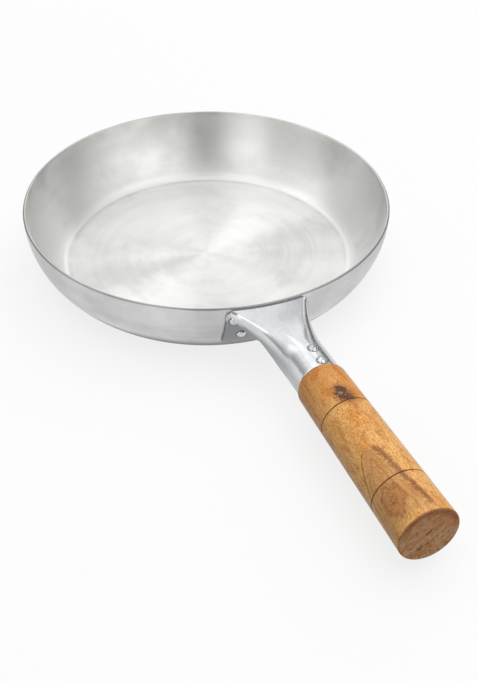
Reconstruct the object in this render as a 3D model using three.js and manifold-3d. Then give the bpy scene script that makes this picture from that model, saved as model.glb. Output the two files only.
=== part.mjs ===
import * as THREE from 'three';
import { mergeVertices } from 'three/addons/utils/BufferGeometryUtils.js';
import Module from 'manifold-3d';

// Tadka pan: a shallow spun aluminium dish with a riveted sheet bracket that rolls into a socket,
// and a turned wooden grip pinned into that socket. Millimetres, +Z up, the handle along +X.
// The origin is the centre of the underside of the dish.

// Dish
const rimRadius = 110;
const panHeight = 41.6;
const baseRadius = 89;
const panSheet = 2;
const creaseRadius = 5;

// Sheet bracket: flange on the dish wall, fold below the rim, roof that rolls into the socket
const bracketSheet = 1.2;
const foldDrop = 0.1;
const foldRadius = 1.4;
const roofHalfWidth = 22;
const roofOffset = -7.5;
const roofFall = 6.2;
const roofCornerRadius = 2.5;
const wingTurn = THREE.MathUtils.degToRad(126);
const wingSetback = 5;
const flangeHalfWidth = 23.4;
const flangeFlare = 2.5;
const flangeBottom = 13;
const flangeCornerRadius = 3;

// Socket at the end of the bracket
const socketEnd = 160;
const socketRadius = 12.8;
const socketRoundLength = 17;
const socketSeam = 1.6;

// Wooden grip
const gripLength = 112.4;
const gripStartRadius = 13.9;
const gripEndRadius = 15.9;
const shoulderRound = 2;
const endRound = 0.9;
const tenonLength = 16;
const tenonChamfer = 1;
const grooveWidth = 0.9;
const grooveDepth = 0.5;
const frontGroove = 30.2;
const rearGroove = 85.2;

// Rivets through the flange and pins through the socket
const rivetShank = 1.7;
const rivetHeadRadius = 2.6;
const rivetHeadHeight = 1.5;
const rivetTailRadius = 2.4;
const rivetTailHeight = 0.9;
const upperRivetDrop = 7.8;
const upperRivetSpread = 19;
const lowerRivetRise = 9.5;
const lowerRivetSpread = 14;
const pinShank = 1.3;
const pinHeadRadius = 2.7;
const pinHeadHeight = 1.5;
const pinLength = 9;
const pinLean = THREE.MathUtils.degToRad(7);
const rearPinSetback = 3.3;
const pinPitch = 10.6;

// Clearance between pieces that seat on each other
const seatGap = 0.3;

// Facets
const dishSides = 64;
const gripSides = 40;
const rivetSides = 16;
const wallSteps = 9;
const flangeSteps = 5;
const foldSteps = 4;
const roofSteps = 16;
const flatCells = 7;
const wingCells = 11;

const wasm = await Module();
wasm.setup();

const aluminium = new THREE.MeshStandardMaterial({ color: 0xdcdcd8, roughness: 0.36, metalness: 0.9 });
const galvanised = new THREE.MeshStandardMaterial({ color: 0xb9bfc2, roughness: 0.32, metalness: 0.9 });
const rivetMetal = new THREE.MeshStandardMaterial({ color: 0xe4e6e6, roughness: 0.25, metalness: 0.95 });
const wood = new THREE.MeshStandardMaterial({ color: 0xb9783c, roughness: 0.55, metalness: 0 });

// A closed mesh with shared corners only, and no flat triangle where a profile meets its axis
function closedMesh(geometry) {
  geometry.deleteAttribute('normal');
  geometry.deleteAttribute('uv');
  const merged = mergeVertices(geometry, 1e-5);
  const source = merged.index.array;
  const index = [];
  for (let i = 0; i < source.length; i += 3) {
    const [a, b, c] = source.slice(i, i + 3);
    if (a !== b && b !== c && c !== a) index.push(a, b, c);
  }
  merged.setIndex(index);
  return merged;
}

function toSolid(geometry) {
  const mesh = closedMesh(geometry);
  return new wasm.Manifold(new wasm.Mesh({
    numProp: 3,
    vertProperties: new Float32Array(mesh.attributes.position.array),
    triVerts: new Uint32Array(mesh.index.array),
  }));
}

function drilled(geometry, tools) {
  let solid = toSolid(geometry);
  for (const tool of tools) solid = solid.subtract(toSolid(tool));
  const mesh = solid.getMesh();
  const result = new THREE.BufferGeometry();
  result.setAttribute('position', new THREE.BufferAttribute(new Float32Array(mesh.vertProperties), 3));
  result.setIndex(new THREE.BufferAttribute(new Uint32Array(mesh.triVerts), 1));
  result.computeVertexNormals();
  return result;
}

// A turned piece: its profile runs from the axis at the bottom to the axis at the top, +Z up
function turned(profile, sides) {
  const points = profile.map(([radius, height]) => new THREE.Vector2(radius, height));
  const geometry = closedMesh(new THREE.LatheGeometry(points, sides));
  geometry.rotateX(Math.PI / 2);
  geometry.computeVertexNormals();
  return geometry;
}

function arcPoints(centreRadius, centreHeight, radius, from, to, steps) {
  const points = [];
  for (let i = 0; i <= steps; i += 1) {
    const angle = from + (to - from) * i / steps;
    points.push([centreRadius + radius * Math.cos(angle), centreHeight + radius * Math.sin(angle)]);
  }
  return points;
}

function domePoints(radius, height, base, steps) {
  const sphere = (radius * radius + height * height) / (2 * height);
  const start = Math.PI / 2 - Math.asin(Math.min(radius / sphere, 1));
  const points = arcPoints(0, base + height - sphere, sphere, start, Math.PI / 2, steps);
  points[steps] = [0, base + height];
  return points;
}

// Dish: the wall is one arc in section, upright at the rim, that meets the flat base in a crease
const wallRun = rimRadius - baseRadius;
const wallArc = (wallRun * wallRun + panHeight * panHeight) / (2 * wallRun);
const wallCentre = rimRadius - wallArc;

function wallRadius(height, outward = 0) {
  const arc = wallArc + outward;
  return wallCentre + Math.sqrt(arc * arc - (panHeight - height) ** 2);
}

// The crease is a fillet that touches the base plane and the wall arc from inside the corner
function creasePoints(arc, plane, radius, steps) {
  const centreHeight = plane + radius;
  const reach = arc - radius;
  const centreRadius = wallCentre + Math.sqrt(reach * reach - (panHeight - centreHeight) ** 2);
  const wallAngle = Math.atan2(centreHeight - panHeight, centreRadius - wallCentre);
  return { wallAngle, points: arcPoints(centreRadius, centreHeight, radius, -Math.PI / 2, wallAngle, steps) };
}

const outerCrease = creasePoints(wallArc, 0, creaseRadius + panSheet, 3);
const innerCrease = creasePoints(wallArc - panSheet, panSheet, creaseRadius, 3);
const rimRound = panSheet / 2;
const dishProfile = [
  [0, 0],
  ...outerCrease.points,
  ...arcPoints(wallCentre, panHeight, wallArc, outerCrease.wallAngle, 0, wallSteps).slice(1, -1),
  ...arcPoints(rimRadius - rimRound, panHeight - rimRound, rimRound, 0, Math.PI, 6),
  ...arcPoints(wallCentre, panHeight, wallArc - panSheet, 0, innerCrease.wallAngle, wallSteps).slice(1, -1),
  ...innerCrease.points.reverse(),
  [0, panSheet],
];

// Rivet places: two on each side of the flange centre, square to the dish wall
const roofTop = panHeight - foldDrop;
const up = new THREE.Vector3(0, 0, 1);

function rivetPlace(lateral, height) {
  const radius = wallRadius(height);
  const angle = Math.asin(lateral / radius);
  const tilt = Math.asin((height - panHeight) / wallArc);
  const normal = new THREE.Vector3(
    Math.cos(angle) * Math.cos(tilt), Math.sin(angle) * Math.cos(tilt), Math.sin(tilt));
  const position = new THREE.Vector3(radius * Math.cos(angle), lateral, height);
  return { position, quaternion: new THREE.Quaternion().setFromUnitVectors(up, normal) };
}

const upperRivetHeight = roofTop - upperRivetDrop;
const lowerRivetHeight = flangeBottom + lowerRivetRise;
const rivetPlaces = {
  pan_rivet_upper_left: rivetPlace(roofOffset - upperRivetSpread, upperRivetHeight),
  pan_rivet_lower_left: rivetPlace(roofOffset - lowerRivetSpread, lowerRivetHeight),
  pan_rivet_upper_right: rivetPlace(roofOffset + upperRivetSpread, upperRivetHeight),
  pan_rivet_lower_right: rivetPlace(roofOffset + lowerRivetSpread, lowerRivetHeight),
};

const rivetStack = seatGap + bracketSheet + seatGap;
const holeReach = 2 * (panSheet + rivetStack);

function rivetHole(place) {
  const hole = new THREE.CylinderGeometry(rivetShank + seatGap, rivetShank + seatGap, holeReach, rivetSides);
  hole.rotateX(Math.PI / 2);
  hole.applyQuaternion(place.quaternion);
  hole.translate(place.position.x, place.position.y, place.position.z);
  return hole;
}

// Bracket: one cut sheet, followed row by row from the bottom of the flange, up the dish wall,
// over the fold and along the roof to the end of the socket. The wings beside the roof start at the
// fold, hang down inwards and close under the grip's tenon in an open seam.
const socketAxis = roofTop - roofFall - socketRadius;
const seamHalf = socketSeam / 2;
const socketTurn = Math.PI - Math.asin(seamHalf / socketRadius);
const halfGirth = socketRadius * socketTurn;
const foldStart = roofTop - foldRadius;
const foldCircle = wallRadius(foldStart, seatGap) + foldRadius;
const roofFlat = roofHalfWidth - roofCornerRadius;
const wingLimit = flatCells + wingCells;

function cornerReach(lateral) {
  return Math.sqrt(foldCircle * foldCircle - lateral * lateral);
}

// What is left of the way from the fold to the round part of the socket, from 1 to 0
function taperLeft(share) {
  const roundStart = 1 - socketRoundLength / (socketEnd - foldCircle);
  return Math.max(1 - share / roundStart, 0);
}

// Half of the roof's section: a flat top, a rounded corner and a wing that ends at the seam
function roofSection(share) {
  const left = taperLeft(share);
  const roundness = THREE.MathUtils.smoothstep(1 - left, 0, 1);
  const width = socketRadius + (roofHalfWidth - socketRadius) * left ** 2.6;
  const corner = THREE.MathUtils.lerp(roofCornerRadius, socketRadius, roundness);
  const turn = THREE.MathUtils.lerp(wingTurn, socketTurn, roundness);
  const flat = width - corner;
  const bend = corner * turn;
  const seamReach = (flat + corner * Math.sin(turn) - seamHalf) / -Math.cos(turn);
  const wing = Math.max(Math.min(halfGirth - flat - bend, seamReach), 0);
  return { flat, corner, turn, bend, girth: flat + bend + wing };
}

function sectionPoint(section, length) {
  if (length <= section.flat) return [length, 0];
  const past = length - section.flat;
  const angle = Math.min(past / section.corner, section.turn);
  const rest = Math.max(past - section.bend, 0);
  return [
    section.flat + section.corner * Math.sin(angle) + rest * Math.cos(section.turn),
    section.corner * (1 - Math.cos(angle)) + rest * Math.sin(section.turn),
  ];
}

function flangeRow(height) {
  const flare = THREE.MathUtils.smoothstep(foldStart - height, 0, flangeFlare);
  const above = Math.max(flangeCornerRadius - (height - flangeBottom), 0);
  const trim = flangeCornerRadius - Math.sqrt(flangeCornerRadius ** 2 - above ** 2);
  const half = THREE.MathUtils.lerp(roofFlat, flangeHalfWidth, flare) - trim;
  const radius = wallRadius(height, seatGap);
  return (cell) => {
    const lateral = roofOffset + half * cell / flatCells;
    return new THREE.Vector3(Math.sqrt(radius * radius - lateral * lateral), lateral, height);
  };
}

function foldRow(angle) {
  const radius = foldCircle - foldRadius * Math.cos(angle);
  const height = foldStart + foldRadius * Math.sin(angle);
  return (cell) => {
    const lateral = roofOffset + roofFlat * cell / flatCells;
    return new THREE.Vector3(Math.sqrt(radius * radius - lateral * lateral), lateral, height);
  };
}

const flatShare = roofFlat / roofSection(0).girth;

function roofRow(share) {
  const section = roofSection(share);
  const centre = roofOffset * taperLeft(share) ** 1.2;
  const top = socketAxis + socketRadius + roofFall * taperLeft(share) ** 2;
  return (cell) => {
    const side = Math.sign(cell);
    const count = Math.abs(cell);
    const onWing = Math.max(count - flatCells, 0) / wingCells;
    const onFlat = Math.min(count / flatCells, 1);
    const part = flatShare * onFlat + (1 - flatShare) * onWing;
    const [lateral, drop] = sectionPoint(section, part * section.girth);
    const start = cornerReach(roofOffset + side * roofFlat * onFlat) + wingSetback * onWing;
    return new THREE.Vector3(
      THREE.MathUtils.lerp(start, socketEnd, share), centre + side * lateral, top - drop);
  };
}

function bracketRows() {
  const rows = [];
  const heights = foldStart - flangeBottom;
  for (let i = 0; i <= flangeCornerRadius; i += 1) {
    const height = flangeBottom + flangeCornerRadius * (1 - Math.cos(i / flangeCornerRadius * Math.PI / 2));
    rows.push({ limit: flatCells, at: flangeRow(height) });
  }
  const plain = heights - flangeCornerRadius - flangeFlare;
  for (let i = 1; i <= flangeSteps; i += 1) {
    const height = flangeBottom + flangeCornerRadius + plain * i / flangeSteps;
    rows.push({ limit: flatCells, at: flangeRow(height) });
  }
  for (let i = 1; i < foldSteps; i += 1) {
    const height = foldStart - flangeFlare * (1 - i / foldSteps);
    rows.push({ limit: flatCells, at: flangeRow(height) });
  }
  for (let i = 0; i < foldSteps; i += 1) {
    rows.push({ limit: flatCells, at: foldRow(i / foldSteps * Math.PI / 2) });
  }
  for (let i = 0; i <= roofSteps; i += 1) {
    rows.push({ limit: wingLimit, at: roofRow((i / roofSteps) ** 1.35) });
  }
  return rows;
}

// A bent sheet from rows of points on its upper side: the lower side lies one thickness inwards,
// and every free border gets an edge face
function bentSheet(rows, limit, thickness) {
  const upper = rows.map((row) => {
    const points = new Map();
    for (let cell = -row.limit; cell <= row.limit; cell += 1) points.set(cell, row.at(cell));
    return points;
  });
  const id = new Map();
  const positions = [];
  upper.forEach((points, i) => points.forEach((point, cell) => {
    id.set(`${i},${cell}`, positions.length);
    positions.push(point);
  }));
  const lower = [];
  upper.forEach((points, i) => points.forEach((point, cell) => {
    const before = upper[i - 1]?.get(cell) ?? point;
    const after = upper[i + 1]?.get(cell) ?? point;
    const left = points.get(cell - 1) ?? point;
    const right = points.get(cell + 1) ?? point;
    const along = new THREE.Vector3().subVectors(after, before);
    const across = new THREE.Vector3().subVectors(right, left);
    lower.push(point.clone().addScaledVector(along.cross(across).normalize(), -thickness));
  }));
  const count = positions.length;
  const index = [];
  const borders = new Map();
  for (let i = 0; i + 1 < upper.length; i += 1) {
    for (let cell = -limit; cell < limit; cell += 1) {
      const ring = [`${i},${cell}`, `${i + 1},${cell}`, `${i + 1},${cell + 1}`, `${i},${cell + 1}`];
      if (!ring.every((key) => id.has(key))) continue;
      const [a, b, c, d] = ring.map((key) => id.get(key));
      index.push(a, b, c, a, c, d);
      index.push(count + c, count + b, count + a, count + d, count + c, count + a);
      for (const [p, q] of [[a, b], [b, c], [c, d], [d, a]]) {
        if (!borders.delete(`${q},${p}`)) borders.set(`${p},${q}`, [p, q]);
      }
    }
  }
  for (const [p, q] of borders.values()) {
    index.push(q, p, count + p, q, count + p, count + q);
  }
  const geometry = new THREE.BufferGeometry();
  const flat = [...positions, ...lower].flatMap((point) => [point.x, point.y, point.z]);
  geometry.setAttribute('position', new THREE.Float32BufferAttribute(flat, 3));
  geometry.setIndex(index);
  return geometry;
}

// Pins stand square on the socket, slightly to the side of its top line
const pinSetbacks = {
  socket_pin_front: rearPinSetback + pinPitch,
  socket_pin_rear: rearPinSetback,
};
const pinDirection = new THREE.Vector3(0, Math.sin(pinLean), Math.cos(pinLean));
const socketPlace = new THREE.Vector3(socketEnd, 0, socketAxis);

function pinPlace(setback) {
  return pinDirection.clone().multiplyScalar(socketRadius).add(new THREE.Vector3(-setback, 0, 0));
}

// Clearance hole for a pin, in the frame of the socket's end
function pinHole(setback) {
  const reach = pinLength + seatGap;
  const hole = new THREE.CylinderGeometry(pinShank + seatGap, pinShank + seatGap, 2 * reach, rivetSides);
  hole.rotateX(Math.PI / 2);
  hole.rotateX(-pinLean);
  const place = pinPlace(setback);
  hole.translate(place.x, place.y, place.z);
  return hole;
}

// Grip: tenon, rounded shoulder, a slight swell towards the end and two scribed grooves
const gripStart = seatGap;
const gripTip = gripStart + gripLength;
const tenonRadius = socketRadius - bracketSheet - seatGap;

function gripRadius(distance) {
  return THREE.MathUtils.lerp(gripStartRadius, gripEndRadius, distance / gripLength);
}

function groovePoints(distance) {
  const radius = gripRadius(distance);
  return [
    [radius, gripStart + distance - grooveWidth / 2],
    [radius - grooveDepth, gripStart + distance],
    [radius, gripStart + distance + grooveWidth / 2],
  ];
}

const gripProfile = [
  [0, gripStart - tenonLength],
  [tenonRadius - tenonChamfer, gripStart - tenonLength],
  [tenonRadius, gripStart - tenonLength + tenonChamfer],
  [tenonRadius, gripStart],
  ...arcPoints(gripStartRadius - shoulderRound, gripStart + shoulderRound, shoulderRound, -Math.PI / 2, 0, 4),
  ...groovePoints(frontGroove),
  ...groovePoints(rearGroove),
  ...arcPoints(gripEndRadius - endRound, gripTip - endRound, endRound, 0, Math.PI / 2, 4),
  [0, gripTip],
];

function rivetProfile() {
  const tail = -panSheet - seatGap;
  const seat = rivetStack;
  return [
    ...domePoints(rivetTailRadius, rivetTailHeight, 0, 2).map(([r, h]) => [r, tail - h]).reverse(),
    [rivetShank, tail],
    [rivetShank, seat],
    ...domePoints(rivetHeadRadius, rivetHeadHeight, seat, 4),
  ];
}

function pinProfile() {
  return [
    [0, -pinLength],
    [pinShank, -pinLength + pinShank],
    [pinShank, seatGap],
    ...domePoints(pinHeadRadius, pinHeadHeight, seatGap, 4),
  ];
}

function piece(name, geometry, material) {
  const mesh = new THREE.Mesh(geometry, material);
  mesh.name = name;
  return mesh;
}

const pan = new THREE.Group();

const rivetHoles = () => Object.values(rivetPlaces).map(rivetHole);
pan.add(piece('pan_body', drilled(turned(dishProfile, dishSides), rivetHoles()), aluminium));

const socketPinHoles = Object.values(pinSetbacks).map((setback) => {
  const hole = pinHole(setback);
  hole.translate(socketPlace.x, socketPlace.y, socketPlace.z);
  return hole;
});
const sheet = bentSheet(bracketRows(), wingLimit, bracketSheet);
pan.add(piece('handle_bracket', drilled(sheet, [...rivetHoles(), ...socketPinHoles]), galvanised));

for (const [name, place] of Object.entries(rivetPlaces)) {
  const rivet = piece(name, turned(rivetProfile(), rivetSides), rivetMetal);
  rivet.position.copy(place.position);
  rivet.quaternion.copy(place.quaternion);
  pan.add(rivet);
}

const handle = new THREE.Group();
handle.position.copy(socketPlace);
pan.add(handle);

const gripBlank = turned(gripProfile, gripSides);
gripBlank.rotateY(Math.PI / 2);
const gripHoles = Object.values(pinSetbacks).map(pinHole);
handle.add(piece('wooden_handle', drilled(gripBlank, gripHoles), wood));

for (const [name, setback] of Object.entries(pinSetbacks)) {
  const pin = piece(name, turned(pinProfile(), rivetSides), rivetMetal);
  pin.position.copy(pinPlace(setback));
  pin.rotation.x = -pinLean;
  handle.add(pin);
}

export default pan;
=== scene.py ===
import math

import bmesh
import bpy
from mathutils import Matrix, Vector


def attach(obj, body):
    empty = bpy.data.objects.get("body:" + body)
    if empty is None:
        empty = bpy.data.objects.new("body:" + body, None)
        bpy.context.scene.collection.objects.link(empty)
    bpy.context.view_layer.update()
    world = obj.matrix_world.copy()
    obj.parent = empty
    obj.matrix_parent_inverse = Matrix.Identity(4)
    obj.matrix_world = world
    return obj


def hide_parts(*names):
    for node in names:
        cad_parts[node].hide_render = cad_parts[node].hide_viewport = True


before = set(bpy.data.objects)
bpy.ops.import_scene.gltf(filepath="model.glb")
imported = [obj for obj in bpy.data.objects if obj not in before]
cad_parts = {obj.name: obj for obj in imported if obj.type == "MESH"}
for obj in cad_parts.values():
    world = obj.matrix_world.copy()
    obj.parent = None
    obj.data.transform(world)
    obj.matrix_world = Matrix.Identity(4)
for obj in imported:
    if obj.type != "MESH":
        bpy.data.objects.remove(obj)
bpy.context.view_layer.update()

# Dish: a disc of aluminium, spun over a former to a flat base and a wall that arches up to an
# upright rim. Its satin skin keeps the fine circles of the turning and of scouring since then.
MM = 0.001
RIM_RADIUS = 110 * MM
PAN_HEIGHT = 41.6 * MM
BASE_RADIUS = 89 * MM
PAN_SHEET = 2 * MM
CREASE_RADIUS = 5 * MM
DISH_SIDES = 288
ROUND_STEPS = 8
WALL_STEPS = 24
RIM_STEPS = 10
FLOOR_RINGS = 8
AXIS_CLEARANCE = 2 * MM
RIM_HAZE_DEPTH = 26 * MM
RIM_HAZE_FULL = 2 * MM
FLOOR_SHADE_PATCHES = ((-8 * MM, -60 * MM, PAN_SHEET), (14 * MM, 58 * MM, PAN_SHEET))
FLOOR_SHADE_REACH = 46 * MM
FLOOR_SHADE_HEART = 8 * MM
FLOOR_SHADE_FRAY = 14 * MM
CREASE_HIGHLIGHT_BAND = (-0.5 * MM, 1 * MM, 3.5 * MM, 6.5 * MM)
CREASE_SHADE_BAND = (-4.5 * MM, -1 * MM, -1 * MM, 0.2 * MM)
SHADED_FOOT_TOP = 15 * MM
SHADED_FOOT_FULL = 6 * MM
RING_RELIEF = 0.2 * MM
ALUMINIUM_BRIGHT = (0.955, 0.955, 0.935, 1)
ALUMINIUM_DULL = (0.875, 0.875, 0.855, 1)
ALUMINIUM_HAZE_AND_SHADE = (0.66, 0.66, 0.645, 1)
ALUMINIUM_SCRATCH = (0.45, 0.45, 0.44, 1)
CREASE_HIGHLIGHT = (0.985, 0.985, 0.97, 1)
OUTSIDE_GREY = (0.86, 0.86, 0.865, 1)
OUTSIDE_DULL = (0.68, 0.68, 0.685, 1)
RIM_AND_FOOT_SHADE = (0.20, 0.20, 0.205, 1)

WALL_RUN = RIM_RADIUS - BASE_RADIUS
WALL_ARC = (WALL_RUN ** 2 + PAN_HEIGHT ** 2) / (2 * WALL_RUN)
WALL_CENTRE = RIM_RADIUS - WALL_ARC


def arc_points(centre_r, centre_z, radius, start, end, steps):
    """Points (radius, height) on an arc in a turning profile."""
    turns = [start + (end - start) * i / steps for i in range(steps + 1)]
    return [(centre_r + radius * math.cos(t), centre_z + radius * math.sin(t)) for t in turns]


def crease_points(arc, floor, radius):
    """The fillet between the flat base and the wall, and the angle where it meets the wall."""
    z = floor + radius
    r = WALL_CENTRE + math.sqrt((arc - radius) ** 2 - (PAN_HEIGHT - z) ** 2)
    angle = math.atan2(z - PAN_HEIGHT, r - WALL_CENTRE)
    return angle, arc_points(r, z, radius, -math.pi / 2, angle, ROUND_STEPS)


def add_object(name, data):
    """An object at the origin, linked to the scene."""
    added = bpy.data.objects.new(name, data)
    bpy.context.scene.collection.objects.link(added)
    return added


def add_piece(name, bm):
    """A smooth-shaded piece from a finished bmesh."""
    mesh = bpy.data.meshes.new(name)
    bm.to_mesh(mesh)
    bm.free()
    mesh.shade_smooth()
    return add_object(name, mesh)


def turned(profile, sides, place=Matrix.Identity(4)):
    """A closed turned shape whose profile runs from axis to axis, along +Z before placing."""
    bm = bmesh.new()
    bottom = bm.verts.new((0, 0, profile[0][1]))
    top = bm.verts.new((0, 0, profile[-1][1]))
    rings = []
    for r, z in profile[1:-1]:
        turns = [2 * math.pi * i / sides for i in range(sides)]
        rings.append([bm.verts.new((r * math.cos(t), r * math.sin(t), z)) for t in turns])
    for i in range(sides):
        j = (i + 1) % sides
        bm.faces.new((bottom, rings[0][j], rings[0][i]))
        bm.faces.new((rings[-1][i], rings[-1][j], top))
        for low, high in zip(rings, rings[1:]):
            bm.faces.new((low[i], low[j], high[j], high[i]))
    bm.transform(place)
    return bm


outer_angle, outer_crease = crease_points(WALL_ARC, 0, CREASE_RADIUS + PAN_SHEET)
inner_angle, inner_crease = crease_points(WALL_ARC - PAN_SHEET, PAN_SHEET, CREASE_RADIUS)
floor_edge = inner_crease[0][0]
floor_rings = [(floor_edge * i / FLOOR_RINGS, PAN_SHEET) for i in range(FLOOR_RINGS - 1, 0, -1)]
base_rings = [(outer_crease[0][0] * i / FLOOR_RINGS, 0) for i in range(1, FLOOR_RINGS)]
rim_round = PAN_SHEET / 2
dish_profile = [
    (0, 0), *base_rings, *outer_crease,
    *arc_points(WALL_CENTRE, PAN_HEIGHT, WALL_ARC, outer_angle, 0, WALL_STEPS)[1:-1],
    *arc_points(RIM_RADIUS - rim_round, PAN_HEIGHT - rim_round, rim_round, 0, math.pi, RIM_STEPS),
    *arc_points(WALL_CENTRE, PAN_HEIGHT, WALL_ARC - PAN_SHEET, 0, inner_angle, WALL_STEPS)[1:-1],
    *reversed(inner_crease), *floor_rings, (0, PAN_SHEET),
]
dish = add_piece("dish", turned(dish_profile, DISH_SIDES))


def add_node(tree, kind, inputs=None, **settings):
    """A node with its settings, and its inputs set to values or linked from sockets."""
    node = tree.nodes.new(kind)
    for key, value in settings.items():
        setattr(node, key, value)
    for key, value in (inputs or {}).items():
        if isinstance(value, bpy.types.NodeSocket):
            tree.links.new(value, node.inputs[key])
        else:
            node.inputs[key].default_value = value
    return node


def calc(tree, operation, *terms, clamp=False):
    """The value of a Math node."""
    inputs = dict(enumerate(terms))
    return add_node(tree, "ShaderNodeMath", inputs, operation=operation, use_clamp=clamp).outputs[0]


def product(tree, first, *others):
    """Values multiplied together."""
    for other in others:
        first = calc(tree, "MULTIPLY", first, other)
    return first


def total(tree, first, *others):
    """Values added together."""
    for other in others:
        first = calc(tree, "ADD", first, other)
    return first


def less(tree, first, second):
    """One value less another."""
    return calc(tree, "SUBTRACT", first, second)


def span(tree, first, second):
    """The long side of a right-angled triangle."""
    return calc(tree, "SQRT", total(tree, product(tree, first, first), product(tree, second, second)))


def split(tree, vector):
    """The three parts of a vector."""
    return add_node(tree, "ShaderNodeSeparateXYZ", {0: vector}).outputs


def joined(tree, *parts):
    """A vector from its parts, from the first on."""
    return add_node(tree, "ShaderNodeCombineXYZ", dict(enumerate(parts))).outputs[0]


def vector_calc(tree, operation, inputs):
    """The outputs of a Vector Math node."""
    return add_node(tree, "ShaderNodeVectorMath", inputs, operation=operation).outputs


def stepped(tree, value, low, high, out_low=0.0, out_high=1.0):
    """A smooth step of a value between two levels."""
    inputs = {0: value, 1: low, 2: high, 3: out_low, 4: out_high}
    return add_node(tree, "ShaderNodeMapRange", inputs, interpolation_type="SMOOTHSTEP").outputs[0]


def band(tree, value, start, full, fade, end):
    """A soft band of a value, which rises from start to full and falls from fade to end."""
    return product(tree, stepped(tree, value, start, full), stepped(tree, value, end, fade))


def layer(tree, under, over, *shares):
    """A colour laid over another by the product of shares."""
    inputs = {0: product(tree, *shares), 6: under, 7: over}
    return add_node(tree, "ShaderNodeMix", inputs, data_type="RGBA").outputs[2]


def noise(tree, vector, pitch, detail=3.0, roughness=0.55, distortion=0.0):
    """The value of a noise texture with a pitch along each axis."""
    node = add_node(tree, "ShaderNodeTexNoise", {
        "Vector": vector_calc(tree, "MULTIPLY", {0: vector, 1: pitch})[0], "Scale": 1.0,
        "Detail": detail, "Roughness": roughness, "Distortion": distortion})
    return node.outputs[0]


def bare_surface(name):
    """An empty material, its tree and the socket that takes a shader."""
    material = bpy.data.materials.new(name)
    material.use_nodes = True
    tree = material.node_tree
    tree.nodes.clear()
    return material, tree, tree.nodes.new("ShaderNodeOutputMaterial").inputs[0]


def own_place(tree):
    """The place on a piece in its own coordinates."""
    return tree.nodes.new("ShaderNodeTexCoord").outputs["Object"]


def new_material(name):
    """A surface with its tree, its shader and the piece's own coordinates."""
    material, tree, surface = bare_surface(name)
    shader = tree.nodes.new("ShaderNodeBsdfPrincipled")
    tree.links.new(shader.outputs[0], surface)
    return material, tree, shader, own_place(tree)


def relief(tree, shader, height, strength, depth):
    """A fine relief on a surface."""
    bump = add_node(tree, "ShaderNodeBump", {"Height": height, "Strength": strength, "Distance": depth})
    tree.links.new(bump.outputs[0], shader.inputs["Normal"])


def new_tree(name, kind, inputs, outputs):
    """A node group with named sockets, and its own input and output nodes."""
    group = bpy.data.node_groups.new(name, kind)
    for label, socket in inputs:
        group.interface.new_socket(label, in_out="INPUT", socket_type=socket)
    for label, socket in outputs:
        group.interface.new_socket(label, in_out="OUTPUT", socket_type=socket)
    return group, group.nodes.new("NodeGroupInput").outputs, group.nodes.new("NodeGroupOutput").inputs


# Scuffs that every metal piece of the pan has: hairline scratches, and dull clouds from handling
scuffs, scuff_in, scuff_out = new_tree(
    "scuffed_metal", "ShaderNodeTree",
    [("Vector", "NodeSocketVector"), ("Size", "NodeSocketFloat")],
    [("Scratches", "NodeSocketFloat"), ("Clouds", "NodeSocketFloat")])
sized = vector_calc(scuffs, "SCALE", {0: scuff_in["Vector"], "Scale": scuff_in["Size"]})[0]
hair_a = noise(scuffs, sized, (60.0, 2600.0, 900.0), 2.0)
hair_b = noise(scuffs, sized, (2300.0, 90.0, 700.0), 2.0)
hairs = calc(scuffs, "MAXIMUM", stepped(scuffs, hair_a, 0.66, 0.74), stepped(scuffs, hair_b, 0.67, 0.75))
scuffs.links.new(hairs, scuff_out["Scratches"])
scuffs.links.new(noise(scuffs, sized, (42.0, 42.0, 42.0), 5.0, 0.6), scuff_out["Clouds"])


def scuffed(tree, coords, size):
    """The scratches and clouds of the scuffs at a size."""
    return add_node(tree, "ShaderNodeGroup", {"Vector": coords, "Size": size}, node_tree=scuffs).outputs


aluminium, tree, shader, coords = new_material("spun_aluminium")
x, y, z = split(tree, coords)
ring = span(tree, x, y)
ring_safe = calc(tree, "MAXIMUM", ring, AXIS_CLEARANCE)
around = joined(tree, calc(tree, "DIVIDE", x, ring_safe), calc(tree, "DIVIDE", y, ring_safe),
                less(tree, z, ring))
fine_rings = noise(tree, around, (1.1, 1.1, 2600.0), 3.0, 0.65)
wide_rings = noise(tree, around, (1.2, 1.2, 210.0), 5.0, 0.6)
wear = scuffed(tree, coords, 0.8)
dull = total(tree, product(tree, wide_rings, 0.4), product(tree, wear["Clouds"], 0.4),
             product(tree, fine_rings, 0.2))
skin = layer(tree, ALUMINIUM_BRIGHT, ALUMINIUM_DULL, stepped(tree, dull, 0.34, 0.68))
below_rim = less(tree, PAN_HEIGHT, z)
haze = noise(tree, coords, (24.0, 24.0, 24.0), 4.0)
rim_haze = product(tree, stepped(tree, below_rim, RIM_HAZE_DEPTH, RIM_HAZE_FULL),
                   stepped(tree, haze, 0.32, 0.62, 0.15, 0.50))
skin = layer(tree, skin, ALUMINIUM_HAZE_AND_SHADE, total(tree, stepped(tree, haze, 0.48, 0.72, 0.0, 0.45), rim_haze))
# Painted shade: two broad darker patches on the floor, left and right of the middle, stand in for its
# darker reflection there
fray = stepped(tree, haze, 0.30, 0.70, FLOOR_SHADE_FRAY, -FLOOR_SHADE_FRAY)
for patch in FLOOR_SHADE_PATCHES:
    frayed = total(tree, vector_calc(tree, "DISTANCE", {0: coords, 1: patch})["Value"], fray)
    skin = layer(tree, skin, ALUMINIUM_HAZE_AND_SHADE, stepped(tree, frayed, FLOOR_SHADE_REACH, FLOOR_SHADE_HEART),
                 stepped(tree, dull, 0.38, 0.60, 0.50, 0.78))
# Painted highlight: a bright ring along the crease at the floor's edge
past_floor = less(tree, ring, floor_edge)
skin = layer(tree, skin, CREASE_HIGHLIGHT, band(tree, past_floor, *CREASE_HIGHLIGHT_BAND), 0.9)
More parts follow.
